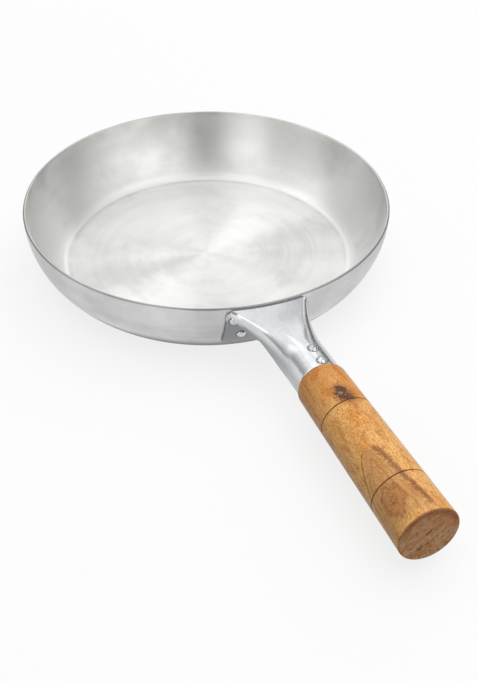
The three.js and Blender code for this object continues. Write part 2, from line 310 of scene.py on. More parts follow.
# Painted shade: a darker ring on the floor just inside the crease
skin = layer(tree, skin, ALUMINIUM_HAZE_AND_SHADE, band(tree, past_floor, *CREASE_SHADE_BAND),
             stepped(tree, haze, 0.32, 0.62, 0.08, 0.65))

# The outside lies beyond the middle of the sheet and is greyer, with painted shade darkening it towards its
# foot
mid_arc = WALL_ARC - PAN_SHEET / 2
mid_run = calc(tree, "SQRT", less(tree, mid_arc ** 2, product(tree, below_rim, below_rim)))
past_middle = less(tree, ring, total(tree, mid_run, WALL_CENTRE))
on_base = stepped(tree, z, 1.2 * MM, 0.8 * MM)
outside = calc(tree, "MAXIMUM", stepped(tree, past_middle, 0, 0.5 * MM), on_base)
outside_dull = total(tree, product(tree, haze, 0.6), product(tree, dull, 0.4))
outside_skin = layer(tree, OUTSIDE_GREY, OUTSIDE_DULL, stepped(tree, outside_dull, 0.40, 0.62))
# Painted shade towards the foot of the outside
outside_skin = layer(tree, outside_skin, RIM_AND_FOOT_SHADE, stepped(tree, z, SHADED_FOOT_TOP, SHADED_FOOT_FULL), 0.8)
skin = layer(tree, skin, outside_skin, outside)
skin = layer(tree, skin, ALUMINIUM_SCRATCH, wear["Scratches"], 0.10)
# Painted shade: a thin dark line along the outer edge of the rim
rim_edge_shade = stepped(tree, ring, RIM_RADIUS - 1.0 * MM, RIM_RADIUS - 0.5 * MM, 0.2, 0.7)
skin = layer(tree, skin, RIM_AND_FOOT_SHADE, stepped(tree, below_rim, 1.0 * MM, 0.4 * MM), rim_edge_shade)
tree.links.new(skin, shader.inputs["Base Color"])
grain = total(tree, product(tree, fine_rings, 0.16), product(tree, dull, 0.12), 0.28)
tree.links.new(grain, shader.inputs["Roughness"])
relief(tree, shader, fine_rings, 0.12, RING_RELIEF)
shader.inputs["Metallic"].default_value = 1.0
shader.inputs["Anisotropic"].default_value = 0.9
shader.inputs["Anisotropic Rotation"].default_value = 0.25
turning = add_node(tree, "ShaderNodeTangent", direction_type="RADIAL", axis="Z")
tree.links.new(turning.outputs[0], shader.inputs["Tangent"])
dish.data.materials.append(aluminium)
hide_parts("pan_body")
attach(dish, "root")

# Bracket: one cut sheet of zinc-coated steel. Its flange lies on the dish wall, the sheet folds
# outwards just under the rim, and the wings beside the roof are rolled down into a round socket.
BRACKET_SHEET = 1.2 * MM
FOLD_DROP = 0.1 * MM
FOLD_RADIUS = 1.4 * MM
ROOF_HALF_WIDTH = 22 * MM
ROOF_OFFSET = -7.5 * MM
ROOF_FALL = 6.2 * MM
ROOF_CORNER_RADIUS = 2.5 * MM
WIDTH_TAPER = 2.6
OFFSET_TAPER = 1.2
FALL_TAPER = 2
WING_TURN = math.radians(126)
WING_SETBACK = 5 * MM
FLANGE_HALF_WIDTH = 23.4 * MM
FLANGE_FLARE = 2.5 * MM
FLANGE_BOTTOM = 13 * MM
FLANGE_CORNER_RADIUS = 3 * MM
SOCKET_END = 160 * MM
SOCKET_RADIUS = 12.8 * MM
SOCKET_ROUND_LENGTH = 17 * MM
TAPER_EASE = 0.12
SOCKET_SEAM = 1.6 * MM
SEAT_GAP = 0.3 * MM
SHEET_EDGE_ROUND = 0.3 * MM
UPPER_HOLE_HEIGHT = PAN_HEIGHT - FOLD_DROP - 7.8 * MM
UPPER_HOLE_SPREAD = 19 * MM
LOWER_HOLE_HEIGHT = FLANGE_BOTTOM + 9.5 * MM
LOWER_HOLE_SPREAD = 14 * MM
PIN_LEAN = math.radians(7)
REAR_PIN_SETBACK = 3.3 * MM
PIN_PITCH = 10.6 * MM
FLAT_CELLS = 26
WING_CELLS = 34
FLANGE_ROWS = 22
FOLD_ROWS = 8
ROOF_ROWS = 64
ROOF_CROWDING = 1.35
WING_SHADE_START = 6 * MM
WING_SHADE_FULL = 10.5 * MM
SEAT_SHADE_FULL = 2.8 * MM
SEAT_SHADE_END = 3.5 * MM
SPANGLE_PITCH = 260.0
SHEET_RELIEF = 0.4 * MM
ZINC_LIGHT = (0.80, 0.815, 0.82, 1)
ZINC_DARK = (0.68, 0.70, 0.71, 1)
ZINC_SHADE = (0.30, 0.315, 0.33, 1)
ZINC_SCRATCH = (0.35, 0.37, 0.39, 1)
SEAT_AND_FOLD_SHADE = (0.10, 0.105, 0.11, 1)

ROOF_TOP = PAN_HEIGHT - FOLD_DROP
SOCKET_AXIS = ROOF_TOP - ROOF_FALL - SOCKET_RADIUS
SEAM_HALF = SOCKET_SEAM / 2
SOCKET_TURN = math.pi - math.asin(SEAM_HALF / SOCKET_RADIUS)
HALF_GIRTH = SOCKET_RADIUS * SOCKET_TURN
FOLD_START = ROOF_TOP - FOLD_RADIUS
ROOF_FLAT = ROOF_HALF_WIDTH - ROOF_CORNER_RADIUS


def wall_radius(height, outward=0.0):
    """Radius of the dish's outer wall, or of a skin outside it, at a height."""
    return WALL_CENTRE + math.sqrt((WALL_ARC + outward) ** 2 - (PAN_HEIGHT - height) ** 2)


FOLD_CIRCLE = wall_radius(FOLD_START, SEAT_GAP) + FOLD_RADIUS


def lerp(first, second, share):
    """A value at a share of the way from one to another."""
    return first + (second - first) * share


def smooth(value, low, high):
    """A smooth step from 0 to 1 between two levels."""
    t = min(max((value - low) / (high - low), 0.0), 1.0)
    return t * t * (3 - 2 * t)


def taper_left(share):
    """What is left of the way from the fold to the round part of the socket, from 1 softly to 0."""
    left = 1 - share / (1 - SOCKET_ROUND_LENGTH / (SOCKET_END - FOLD_CIRCLE))
    return (left + math.hypot(left, TAPER_EASE)) / (1 + math.hypot(1, TAPER_EASE))


def roof_section(share):
    """Half of the section at a share of the roof's length: flat, corner radius, turn, girth."""
    left = taper_left(share)
    roundness = smooth(1 - left, 0, 1)
    width = SOCKET_RADIUS + (ROOF_HALF_WIDTH - SOCKET_RADIUS) * left ** WIDTH_TAPER
    corner = lerp(ROOF_CORNER_RADIUS, SOCKET_RADIUS, roundness)
    turn = lerp(WING_TURN, SOCKET_TURN, roundness)
    flat = width - corner
    seam_reach = (flat + corner * math.sin(turn) - SEAM_HALF) / -math.cos(turn)
    wing = max(min(HALF_GIRTH - flat - corner * turn, seam_reach), 0.0)
    return flat, corner, turn, flat + corner * turn + wing


FLAT_SHARE = ROOF_FLAT / roof_section(0)[3]


def level_row(radius, half, height):
    """Points across the sheet on a level circle round the dish, for a half width."""
    row = {}
    for cell in range(-FLAT_CELLS, FLAT_CELLS + 1):
        side = ROOF_OFFSET + half * cell / FLAT_CELLS
        row[cell] = Vector((math.sqrt(radius ** 2 - side ** 2), side, height))
    return row


def flange_row(height):
    """Points across the flange at a height, on the dish side of the sheet."""
    flare = smooth(FOLD_START - height, 0, FLANGE_FLARE)
    above = max(FLANGE_CORNER_RADIUS - (height - FLANGE_BOTTOM), 0.0)
    trim = FLANGE_CORNER_RADIUS - math.sqrt(FLANGE_CORNER_RADIUS ** 2 - above ** 2)
    half = lerp(ROOF_FLAT, FLANGE_HALF_WIDTH, flare) - trim
    return level_row(wall_radius(height, SEAT_GAP), half, height)


def fold_row(angle):
    """Points across the fold at an angle of its bend."""
    radius = FOLD_CIRCLE - FOLD_RADIUS * math.cos(angle)
    return level_row(radius, ROOF_FLAT, FOLD_START + FOLD_RADIUS * math.sin(angle))


def roof_row(share):
    """Points across the roof and its wings at a share of the way to the socket's end."""
    flat, corner, turn, girth = roof_section(share)
    centre = ROOF_OFFSET * taper_left(share) ** OFFSET_TAPER
    top = SOCKET_AXIS + SOCKET_RADIUS + ROOF_FALL * taper_left(share) ** FALL_TAPER
    row = {}
    for cell in range(-FLAT_CELLS - WING_CELLS, FLAT_CELLS + WING_CELLS + 1):
        sign = math.copysign(1, cell)
        on_wing = max(abs(cell) - FLAT_CELLS, 0) / WING_CELLS
        on_flat = min(abs(cell) / FLAT_CELLS, 1.0)
        length = (FLAT_SHARE * on_flat + (1 - FLAT_SHARE) * on_wing) * girth
        angle = min(max(length - flat, 0.0) / corner, turn)
        rest = max(length - flat - corner * turn, 0.0)
        side = min(length, flat) + corner * math.sin(angle) + rest * math.cos(turn)
        drop = corner * (1 - math.cos(angle)) + rest * math.sin(turn)
        start = math.sqrt(FOLD_CIRCLE ** 2 - (ROOF_OFFSET + sign * ROOF_FLAT * on_flat) ** 2)
        x_place = lerp(start + WING_SETBACK * on_wing, SOCKET_END, share)
        row[cell] = Vector((x_place, centre + sign * side, top - drop))
    return row


def bent_sheet(rows, thickness, edge_round):
    """A closed sheet from rows of points on its upper side, with its free edges rounded."""
    bm = bmesh.new()
    upper = [{cell: bm.verts.new(point) for cell, point in row.items()} for row in rows]
    lower = []
    for i, row in enumerate(rows):
        under = {}
        for cell, point in row.items():
            before = rows[i - 1].get(cell, point) if i else point
            after = rows[i + 1].get(cell, point) if i + 1 < len(rows) else point
            across = row.get(cell + 1, point) - row.get(cell - 1, point)
            normal = (after - before).cross(across).normalized()
            under[cell] = bm.verts.new(point - normal * thickness)
        lower.append(under)
    borders = {}
    for i in range(len(rows) - 1):
        for cell in rows[i]:
            corners = [(i, cell), (i + 1, cell), (i + 1, cell + 1), (i, cell + 1)]
            if not all(c in rows[r] for r, c in corners):
                continue
            bm.faces.new([upper[r][c] for r, c in corners])
            bm.faces.new([lower[r][c] for r, c in reversed(corners)])
            for start, end in zip(corners, corners[1:] + corners[:1]):
                if borders.pop((end, start), None) is None:
                    borders[(start, end)] = True
    rim_edges = []
    for (r0, c0), (r1, c1) in borders:
        bm.faces.new((upper[r1][c1], upper[r0][c0], lower[r0][c0], lower[r1][c1]))
        rim_edges.append(bm.edges.get((upper[r0][c0], upper[r1][c1])))
        rim_edges.append(bm.edges.get((lower[r0][c0], lower[r1][c1])))
    bmesh.ops.bevel(bm, geom=rim_edges, offset=edge_round, segments=2, profile=0.5, affect="EDGES",
                    clamp_overlap=True)
    return bm


# The rows lie closer together at the rounded corners of the flange, and again at the fold
bracket_rows = []
for i in range(FLANGE_ROWS):
    share = i / FLANGE_ROWS
    bracket_rows.append(flange_row(lerp(FLANGE_BOTTOM, FOLD_START, 0.5 * share ** 2 + 0.5 * share)))
bracket_rows += [fold_row(math.pi / 2 * i / FOLD_ROWS) for i in range(FOLD_ROWS)]
bracket_rows += [roof_row((i / ROOF_ROWS) ** ROOF_CROWDING) for i in range(ROOF_ROWS + 1)]
bracket = add_piece("bracket", bent_sheet(bracket_rows, BRACKET_SHEET, SHEET_EDGE_ROUND))

# Places of the wall rivets and the socket pins: the point on the surface below, and the way out
rivet_places = []
for height, spread in ((UPPER_HOLE_HEIGHT, UPPER_HOLE_SPREAD), (LOWER_HOLE_HEIGHT, LOWER_HOLE_SPREAD)):
    tilt = math.asin((height - PAN_HEIGHT) / WALL_ARC)
    for side in (ROOF_OFFSET - spread, ROOF_OFFSET + spread):
        turn = math.asin(side / wall_radius(height))
        point = Vector((wall_radius(height) * math.cos(turn), side, height))
        level_out = Vector((math.cos(turn), math.sin(turn), 0))
        rivet_places.append((point, level_out * math.cos(tilt) + Vector((0, 0, math.sin(tilt)))))
pin_axis = Vector((0, math.sin(PIN_LEAN), math.cos(PIN_LEAN)))
pin_places = []
for setback in (REAR_PIN_SETBACK + PIN_PITCH, REAR_PIN_SETBACK):
    pin_places.append((Vector((SOCKET_END - setback, 0, SOCKET_AXIS)) + pin_axis * SOCKET_RADIUS, pin_axis))

zinc, tree, shader, coords = new_material("zinc_coated_sheet")
x, y, z = split(tree, coords)
ring = span(tree, x, y)
wear = scuffed(tree, coords, 1.4)
drawn = noise(tree, coords, (30.0, 900.0, 900.0), 3.0, 0.6)
spangle = add_node(tree, "ShaderNodeTexVoronoi", {"Vector": coords, "Scale": SPANGLE_PITCH})
spangle_tone = add_node(tree, "ShaderNodeSeparateColor", {0: spangle.outputs["Color"]}).outputs[0]
tone = total(tree, product(tree, wear["Clouds"], 0.7), product(tree, drawn, 0.2),
             product(tree, spangle_tone, 0.1))
skin = layer(tree, ZINC_LIGHT, ZINC_DARK, stepped(tree, tone, 0.34, 0.68))
skin = layer(tree, skin, ZINC_SCRATCH, wear["Scratches"], 0.15)

# Painted shade darkens the flange under the roof and the wings below it, and painted shadow lies along the
# fold and round the heads
skin = layer(tree, skin, ZINC_SHADE, stepped(tree, z, FOLD_START, FOLD_START - 2 * MM),
             stepped(tree, ring, FOLD_CIRCLE, FOLD_CIRCLE - 1.2 * MM), 0.85)
# Painted shadow: a dark line along the gap between the fold and the dish's rim
skin = layer(tree, skin, SEAT_AND_FOLD_SHADE, stepped(tree, ring, FOLD_CIRCLE + 0.7 * MM, FOLD_CIRCLE + 0.1 * MM),
             stepped(tree, z, FOLD_START, FOLD_START + 0.6 * MM), 0.9)
# Painted shade on the wings below the roof line, strongest near the flange
roof_line = stepped(tree, x, FOLD_CIRCLE, SOCKET_END - SOCKET_ROUND_LENGTH, ROOF_TOP, ROOF_TOP - ROOF_FALL)
on_wing = stepped(tree, less(tree, roof_line, z), WING_SHADE_START, WING_SHADE_FULL)
skin = layer(tree, skin, ZINC_SHADE, on_wing, stepped(tree, x, SOCKET_END, FOLD_CIRCLE, 0.4, 0.9))
# Painted shadow round the foot of each rivet head and pin head
head_seats = [point + out * (SEAT_GAP + BRACKET_SHEET) for point, out in rivet_places]
head_seats += [point for point, _ in pin_places]
for seat in head_seats:
    from_seat = vector_calc(tree, "DISTANCE", {0: coords, 1: seat})["Value"]
    skin = layer(tree, skin, SEAT_AND_FOLD_SHADE, stepped(tree, from_seat, SEAT_SHADE_END, SEAT_SHADE_FULL), 0.8)
tree.links.new(skin, shader.inputs["Base Color"])
tree.links.new(total(tree, product(tree, tone, 0.12), 0.17), shader.inputs["Roughness"])
relief(tree, shader, tone, 0.05, SHEET_RELIEF)
shader.inputs["Metallic"].default_value = 1.0
bracket.data.materials.append(zinc)
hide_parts("handle_bracket")
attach(bracket, "root")

# Wall rivets: soft aluminium rivets through flange and dish wall, two on each side of the roof.
# Their domed heads sit on the flange, and their tails are set flat inside the dish.
RIVET_SHANK = 1.7 * MM
RIVET_HEAD_RADIUS = 2.6 * MM
RIVET_HEAD_HEIGHT = 1.5 * MM
RIVET_SEAT = BRACKET_SHEET + SEAT_GAP * 1.1
RIVET_TAIL_RADIUS = 2.4 * MM
RIVET_TAIL_HEIGHT = 0.9 * MM
HEAD_EDGE = 0.2 * MM
HEAD_SIDES = 40
HEAD_RINGS = 9
SHANK_SIDES = 32
RIVET_SHARP_ANGLE = math.radians(50)
RIVET_RELIEF = 0.3 * MM
RIVET_BRIGHT = (0.86, 0.87, 0.875, 1)
RIVET_DULL = (0.58, 0.59, 0.595, 1)

# A round disc with a short upright edge and a crowned top, which only the top face takes
crowned_disc, disc_in, disc_out = new_tree(
    "crowned_disc", "GeometryNodeTree",
    [("Radius", "NodeSocketFloat"), ("Edge", "NodeSocketFloat"), ("Rise", "NodeSocketFloat")],
    [("Geometry", "NodeSocketGeometry")])
blank = add_node(crowned_disc, "GeometryNodeMeshCylinder", {
    "Vertices": HEAD_SIDES, "Side Segments": 2, "Fill Segments": HEAD_RINGS,
    "Radius": disc_in["Radius"], "Depth": disc_in["Edge"]}, fill_type="TRIANGLE_FAN")
px, py, pz = split(crowned_disc, crowned_disc.nodes.new("GeometryNodeInputPosition").outputs[0])
radius_sq = product(crowned_disc, disc_in["Radius"], disc_in["Radius"])
rise_sq = product(crowned_disc, disc_in["Rise"], disc_in["Rise"])
ball = calc(crowned_disc, "DIVIDE", total(crowned_disc, radius_sq, rise_sq),
            product(crowned_disc, disc_in["Rise"], 2.0))
ball_sq = product(crowned_disc, ball, ball)
out_sq = total(crowned_disc, product(crowned_disc, px, px), product(crowned_disc, py, py))
ball_top = calc(crowned_disc, "SQRT", less(crowned_disc, ball_sq, out_sq))
ball_foot = calc(crowned_disc, "SQRT", less(crowned_disc, ball_sq, radius_sq))
on_top = calc(crowned_disc, "GREATER_THAN", pz, product(crowned_disc, disc_in["Edge"], 0.49))
crown = product(crowned_disc, on_top, less(crowned_disc, ball_top, ball_foot))
lift = total(crowned_disc, product(crowned_disc, disc_in["Edge"], 0.5), crown)
raised = add_node(crowned_disc, "GeometryNodeSetPosition", {
    "Geometry": blank.outputs["Mesh"], "Offset": joined(crowned_disc, 0.0, 0.0, lift)})
crowned_disc.links.new(raised.outputs[0], disc_out["Geometry"])

# A whole rivet on every point: head, shank and tail, standing along the point's axis
rivet_sizes = ("Head Radius", "Head Rise", "Head Edge", "Head Seat", "Shank Radius", "Tail Radius",
               "Tail Rise", "Tail Seat")
rivets_tree, rivet_in, rivet_out = new_tree(
    "set_rivets", "GeometryNodeTree",
    [("Geometry", "NodeSocketGeometry"), *((label, "NodeSocketFloat") for label in rivet_sizes),
     ("Finish", "NodeSocketMaterial")],
    [("Geometry", "NodeSocketGeometry")])


def disc_mesh(label):
    """The crowned disc of a rivet's head or tail."""
    return add_node(rivets_tree, "GeometryNodeGroup", {
        "Radius": rivet_in[f"{label} Radius"], "Rise": rivet_in[f"{label} Rise"],
        "Edge": rivet_in["Head Edge"]}, node_tree=crowned_disc).outputs[0]


def along_axis(mesh, height, turn=(0, 0, 0)):
    """A mesh turned and set at a height on the rivet's axis."""
    shift = joined(rivets_tree, 0.0, 0.0, height)
    moved = {"Geometry": mesh, "Rotation": turn, "Translation": shift}
    return add_node(rivets_tree, "GeometryNodeTransform", moved).outputs[0]


seats = (rivet_in["Head Seat"], rivet_in["Tail Seat"])
shank = add_node(rivets_tree, "GeometryNodeMeshCylinder", {
    "Vertices": SHANK_SIDES, "Radius": rivet_in["Shank Radius"], "Depth": less(rivets_tree, *seats)})
shank_middle = product(rivets_tree, total(rivets_tree, *seats), 0.5)
whole = rivets_tree.nodes.new("GeometryNodeJoinGeometry")
for part in (along_axis(disc_mesh("Head"), rivet_in["Head Seat"]),
             along_axis(shank.outputs["Mesh"], shank_middle),
             along_axis(disc_mesh("Tail"), rivet_in["Tail Seat"], (math.pi, 0, 0))):
    rivets_tree.links.new(part, whole.inputs[0])
axis = add_node(rivets_tree, "GeometryNodeInputNamedAttribute", {"Name": "axis"}, data_type="FLOAT_VECTOR")
stand = add_node(rivets_tree, "FunctionNodeAlignRotationToVector", {"Vector": axis.outputs[0]}, axis="Z")
copies = add_node(rivets_tree, "GeometryNodeInstanceOnPoints", {
    "Points": rivet_in["Geometry"], "Instance": whole.outputs[0], "Rotation": stand.outputs[0]})
real = add_node(rivets_tree, "GeometryNodeRealizeInstances", {"Geometry": copies.outputs[0]})
finished = add_node(rivets_tree, "GeometryNodeSetMaterial", {
    "Geometry": real.outputs[0], "Material": rivet_in["Finish"]})
rivets_tree.links.new(finished.outputs[0], rivet_out["Geometry"])


def set_rivets(name, places, values):
    """One piece with a rivet at each place, given as a point and an axis."""
    points = bpy.data.meshes.new(name)
    points.from_pydata([point for point, _ in places], [], [])
    axes = points.attributes.new("axis", "FLOAT_VECTOR", "POINT")
    for item, (_, direction) in zip(axes.data, places):
        item.vector = direction
    piece = add_object(name, points)
    maker = piece.modifiers.new("rivets", "NODES")
    maker.node_group = rivets_tree
    for item in rivets_tree.interface.items_tree:
        if item.in_out == "INPUT" and item.name in values:
            maker[item.identifier] = values[item.name]
    depsgraph = bpy.context.evaluated_depsgraph_get()
    solid = bpy.data.meshes.new_from_object(piece.evaluated_get(depsgraph))
    piece.modifiers.clear()
    piece.data = solid
    solid.shade_smooth()
    solid.set_sharp_from_angle(angle=RIVET_SHARP_ANGLE)
    return piece


rivet_metal, tree, shader, coords = new_material("rivet_aluminium")
clouds = scuffed(tree, coords, 4.0)["Clouds"]
skin = layer(tree, RIVET_BRIGHT, RIVET_DULL, stepped(tree, clouds, 0.35, 0.65))
tree.links.new(skin, shader.inputs["Base Color"])
tree.links.new(total(tree, product(tree, clouds, 0.16), 0.12), shader.inputs["Roughness"])
relief(tree, shader, clouds, 0.2, RIVET_RELIEF)
shader.inputs["Metallic"].default_value = 1.0

wall_rivets = set_rivets("wall_rivets", rivet_places, {
    "Head Radius": RIVET_HEAD_RADIUS, "Head Rise": RIVET_HEAD_HEIGHT - HEAD_EDGE, "Head Edge": HEAD_EDGE,
    "Head Seat": RIVET_SEAT, "Shank Radius": RIVET_SHANK, "Tail Radius": RIVET_TAIL_RADIUS,
    "Tail Rise": RIVET_TAIL_HEIGHT - HEAD_EDGE, "Tail Seat": -PAN_SHEET, "Finish": rivet_metal})
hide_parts("pan_rivet_upper_left", "pan_rivet_lower_left",
            "pan_rivet_upper_right", "pan_rivet_lower_right")
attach(wall_rivets, "root")

# Grip: a turned piece of honey-coloured hardwood with a rounded shoulder, two scribed rings and a
# slight swell towards its end. Its tenon fills the socket, and a knot and a plume of grain show.
GRIP_LENGTH = 112.4 * MM
GRIP_START_RADIUS = 13.9 * MM
GRIP_END_RADIUS = 15.9 * MM
SHOULDER_ROUND = 2 * MM
END_ROUND = 0.9 * MM
TENON_LENGTH = 16 * MM
TENON_CHAMFER = 1 * MM
GROOVE_WIDTH = 0.9 * MM
GROOVE_DEPTH = 0.5 * MM
GROOVES = (30.2 * MM, 85.2 * MM)
GROOVE_SECTION = ((-0.5, 0), (-0.32, 0.45), (-0.1, 1), (0.1, 1), (0.32, 0.45), (0.5, 0))
GRIP_SIDES = 160
GRIP_STEP = 2.2 * MM
GRIP_SHARP_ANGLE = math.radians(40)
WOOD_RELIEF = 0.2 * MM
HONEY = (0.79, 0.322, 0.058, 1)
HONEY_PALE = (0.96, 0.540, 0.180, 1)
HONEY_DEEP = (0.50, 0.160, 0.020, 1)
PLUME_HEART = (0.62, 0.320, 0.115, 1)
STREAK = (0.255, 0.092, 0.034, 1)
KNOT = (0.095, 0.040, 0.020, 1)
KNOT_CHIP = (0.34, 0.235, 0.155, 1)
HALO = (0.33, 0.105, 0.030, 1)
END_GRAIN = (0.84, 0.370, 0.140, 1)
END_GRAIN_PALE = (0.97, 0.620, 0.360, 1)
END_GRAIN_DARK = (0.17, 0.064, 0.026, 1)
SCRIBED = (0.090, 0.034, 0.014, 1)

# The figure in millimetres: places are along the grip from the shoulder, and round it from the top
MEAN_RADIUS = 14.8
GRAIN_PARTINGS = (((24.0, -1.0), 3.6), ((96.0, -11.0), 3.4))
KNOT_PLACE = (24.2, -1.2)
KNOT_HALO_PLACE = (27.5, 0.8)
KNOT_TAIL_PLACE = (28.6, 1.0)
KNOT_CHIP_PLACE = (24.6, -1.9)
PLUME_TIP = 62.0
PLUME_MIDDLE = -7.6
PLUME_LEAN = 0.165
PLUME_LEAN_END = 22.0
PLUME_SPREAD = 2.05
PLUME_SHOWN = (61.0, 66.0, 104.0, 113.0)
PLUME_INNER_LINES = (3.2, 5.6)
EYE_PLACE = (96.0, -11.5)
END_SLANT = math.radians(40)
END_CHECKS = ((-8.1, -2.8, 3.2, 1.0), (-3.6, -4.0, 1.2, 0.7), (1.0, 1.7, 3.0, 0.9))

grip_start = SEAT_GAP
grip_tip = grip_start + GRIP_LENGTH
tenon_radius = SOCKET_RADIUS - BRACKET_SHEET - SEAT_GAP


def grip_radius(distance):
    """Radius of the grip at a distance from its shoulder."""
    return lerp(GRIP_START_RADIUS, GRIP_END_RADIUS, distance / GRIP_LENGTH)


grip_side = []
distance = SHOULDER_ROUND + GRIP_STEP
while distance < GRIP_LENGTH - END_ROUND - 0.5 * GRIP_STEP:
    if all(abs(distance - groove) > GROOVE_WIDTH for groove in GROOVES):
        grip_side.append((grip_radius(distance), grip_start + distance))
    distance += GRIP_STEP
for groove in GROOVES:
    for across, depth in GROOVE_SECTION:
        cut_radius = grip_radius(groove) - GROOVE_DEPTH * depth
        grip_side.append((cut_radius, grip_start + groove + GROOVE_WIDTH * across))
grip_side.sort(key=lambda item: item[1])
shoulder_radius = GRIP_START_RADIUS - SHOULDER_ROUND
grip_profile = [
    (0, grip_start - TENON_LENGTH),
    (tenon_radius - TENON_CHAMFER, grip_start - TENON_LENGTH),
    (tenon_radius, grip_start - TENON_LENGTH + TENON_CHAMFER),
    (tenon_radius, grip_start),
    *arc_points(shoulder_radius, grip_start + SHOULDER_ROUND, SHOULDER_ROUND, -math.pi / 2, 0, ROUND_STEPS),
    *grip_side,
    *arc_points(GRIP_END_RADIUS - END_ROUND, grip_tip - END_ROUND, END_ROUND, 0, math.pi / 2, ROUND_STEPS),
    (GRIP_END_RADIUS * 0.5, grip_tip),
    (0, grip_tip),
]
grip_place = Matrix.Translation((SOCKET_END, 0, SOCKET_AXIS)) @ Matrix.Rotation(math.pi / 2, 4, "Y")
grip = add_piece("grip", turned(grip_profile, GRIP_SIDES, grip_place))
grip.data.set_sharp_from_angle(angle=GRIP_SHARP_ANGLE)

wood, tree, shader, coords = new_material("turned_hardwood")
from_shoulder = vector_calc(tree, "SUBTRACT", {0: coords, 1: (SOCKET_END + grip_start, 0, SOCKET_AXIS)})[0]
local = vector_calc(tree, "SCALE", {0: from_shoulder, "Scale": 1 / MM})[0]
along, side, height = split(tree, local)
girth = product(tree, calc(tree, "ARCTAN2", side, height), MEAN_RADIUS)


def waver(tree, value, width):
    """A noise value as a length that wavers either way of zero."""
    return product(tree, less(tree, value, 0.5), width)


def spot(tree, along, girth, place, stretch):
    """Distance from a place on the grip, shortened along it."""
    run = calc(tree, "DIVIDE", less(tree, along, place[0]), stretch)
    return span(tree, run, less(tree, girth, place[1]))


def line(tree, value, half_width):
    """A soft line where a value passes zero."""
    off = calc(tree, "DIVIDE", calc(tree, "ABSOLUTE", value), half_width)
    return calc(tree, "SUBTRACT", 1.0, off, clamp=True)


# The grain runs along the grip and parts round the knot and the eye of the plume
sway = waver(tree, noise(tree, local, (0.035, 0.11, 0.11)), 5.0)
rough = noise(tree, local, (0.55, 0.6, 0.6), 4.0, 0.6)
ragged = waver(tree, rough, 4.0)
fibre = total(tree, girth, sway)
for place, spread in GRAIN_PARTINGS:
    far = spot(tree, along, girth, place, 1.6)
    push = product(tree, less(tree, girth, place[1]), spread ** 2)
    soft = total(tree, product(tree, far, far), spread ** 2 * 0.45)
    fibre = less(tree, fibre, calc(tree, "DIVIDE", push, soft))
grain_space = joined(tree, along, fibre, height)
blotches = noise(tree, local, (0.055, 0.10, 0.10), 4.0, 0.6)
mottle = noise(tree, grain_space, (0.085, 0.26, 0.12), 5.0, 0.62, 0.5)
fibres = noise(tree, grain_space, (0.10, 2.2, 0.4), 4.0, 0.65)
flecks = noise(tree, grain_space, (0.75, 2.3, 1.6), 4.0, 0.7)
pores = noise(tree, grain_space, (0.55, 5.0, 3.0), 2.0, 0.5)
body = layer(tree, HONEY, HONEY_PALE, stepped(tree, blotches, 0.28, 0.58))
body = layer(tree, body, HONEY_DEEP, stepped(tree, mottle, 0.47, 0.66), 0.75)
body = layer(tree, body, HALO, stepped(tree, fibres, 0.50, 0.74), 0.50)
body = layer(tree, body, HONEY_PALE, stepped(tree, flecks, 0.50, 0.37), 0.70)
body = layer(tree, body, HONEY_DEEP, stepped(tree, flecks, 0.50, 0.63), 0.75)
body = layer(tree, body, STREAK, stepped(tree, pores, 0.56, 0.64), 0.75)
body = layer(tree, body, HONEY_DEEP, stepped(tree, along, 36.0, 8.0), 0.42)

# The plume: a pointed arch of darker growth lines that opens towards the end of the grip
past_tip = calc(tree, "MAXIMUM", less(tree, along, PLUME_TIP), 0.0)
lean = product(tree, calc(tree, "MINIMUM", past_tip, PLUME_LEAN_END), PLUME_LEAN)
from_middle = less(tree, total(tree, girth, product(tree, ragged, 0.30)), less(tree, PLUME_MIDDLE, lean))
half_open = product(tree, calc(tree, "SQRT", past_tip), PLUME_SPREAD)
inside = less(tree, half_open, calc(tree, "ABSOLUTE", from_middle))
shown = band(tree, along, *PLUME_SHOWN)
body = layer(tree, body, PLUME_HEART, stepped(tree, inside, 0.0, 2.0), shown, 0.55)
body = layer(tree, body, STREAK, stepped(tree, flecks, 0.48, 0.64), stepped(tree, inside, 0.0, 3.0),
             shown, 0.38)
right_leg = stepped(tree, from_middle, -0.5, 1.5)
leg_width = total(tree, product(tree, right_leg, stepped(tree, rough, 0.35, 0.65, 0.7, 2.6)), 0.85)
leg_depth = total(tree, product(tree, right_leg, 0.10), 0.85)
body = layer(tree, body, STREAK, stepped(tree, line(tree, inside, leg_width), 0.0, 0.9), leg_depth,
             stepped(tree, flecks, 0.34, 0.56, 0.6, 1.0), shown)
for depth in PLUME_INNER_LINES:
    from_line = less(tree, total(tree, inside, product(tree, ragged, 0.5)), depth)
    body = layer(tree, body, STREAK, line(tree, from_line, 0.9), shown, 0.24)

# The eye of the plume: loose brown curls
curl = noise(tree, local, (0.15, 0.2, 0.2), 2.0)
eye_far = total(tree, spot(tree, along, girth, EYE_PLACE, 1.6), waver(tree, curl, 8.0),
                product(tree, ragged, 0.25))
eye_curl = calc(tree, "SINE", total(tree, product(tree, eye_far, 1.5), sway))
eye_mask = stepped(tree, eye_far, 8.0, 4.0)
body = layer(tree, body, HALO, eye_mask, 0.36)
body = layer(tree, body, STREAK, eye_mask, stepped(tree, eye_curl, -0.2, 0.9),
             stepped(tree, flecks, 0.28, 0.58), 0.66)

